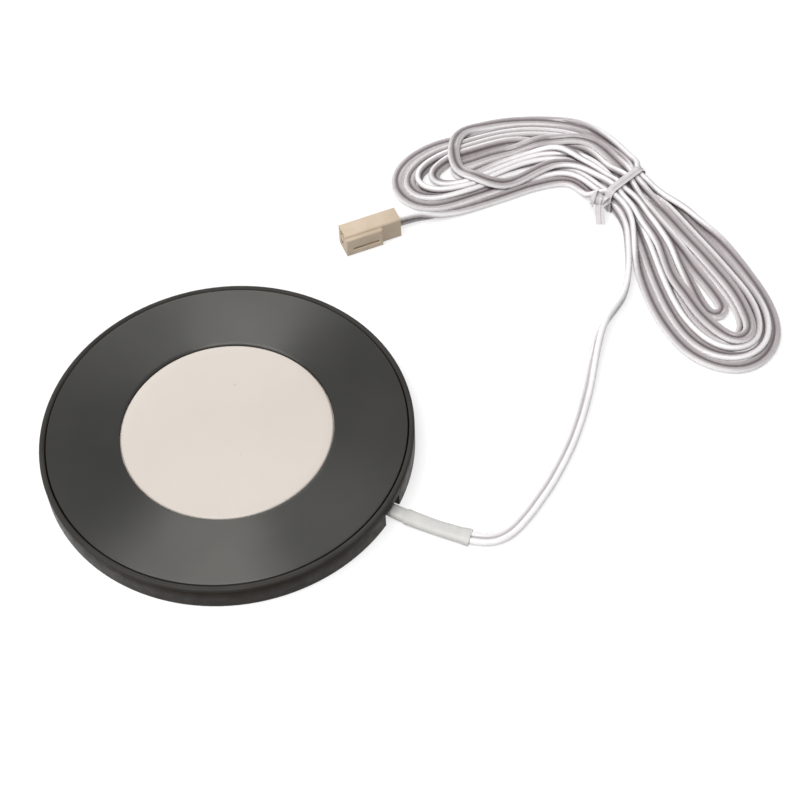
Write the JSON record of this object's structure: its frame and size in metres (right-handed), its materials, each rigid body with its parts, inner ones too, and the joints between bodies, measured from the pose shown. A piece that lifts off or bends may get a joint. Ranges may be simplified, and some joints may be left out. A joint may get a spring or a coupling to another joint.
{
  "type": "recessed spotlight",
  "caption": "Slim round spotlight with a dark metal face and an opal window, its flat white lead tied in a hank that ends in a small plug.",
  "frame": {"origin": "middle of the light's flat back, which lies on the floor in the picture", "axes": "+Z is the way that the light shines, at right angles to the back; +X runs through the two fixing holes towards the side where the lead leaves, and +Y runs towards the tied lead"},
  "size_m": [0.1428, 0.119, 0.0067],
  "materials": {
    "housing": "moulded, matte",
    "face_ring": "satin",
    "diffuser": "opal, matte",
    "reflector": "white",
    "led_board": "white solder mask",
    "led_chips": "yellow phosphor",
    "board_resistors": "black glaze",
    "polarity_diode": "moulded",
    "thermal_pad": "soft silicone",
    "board_screws": "plated",
    "bare_cores": "bare copper",
    "solder_joints": "bright",
    "cable_clamp": "moulded",
    "clamp_screws": "plated",
    "cable_sleeve": "shrunk sleeve",
    "cord": "soft vinyl, satin",
    "twist_tie": "coated wire",
    "plug_housing": "moulded nylon",
    "plug_contacts": "tin plated"
  },
  "bodies": {
    "root": {"housing": "housing", "face_ring": "face_ring", "diffuser": "diffuser", "reflector": "reflector", "led_board": "led_board", "led_chips": "led_chips", "board_resistors": "board_resistors", "polarity_diode": "polarity_diode", "thermal_pad": "thermal_pad", "board_screws": "board_screws", "bare_cores": "bare_cores", "solder_joints": "solder_joints", "cable_clamp": "cable_clamp", "clamp_screws": "clamp_screws", "cable_sleeve": "cable_sleeve", "lead_cord": "cord", "cord_hank": "cord", "tail_cord": "cord", "twist_tie": "twist_tie", "plug_housing": "plug_housing", "plug_contacts": "plug_contacts"}
  },
  "joints": []
}
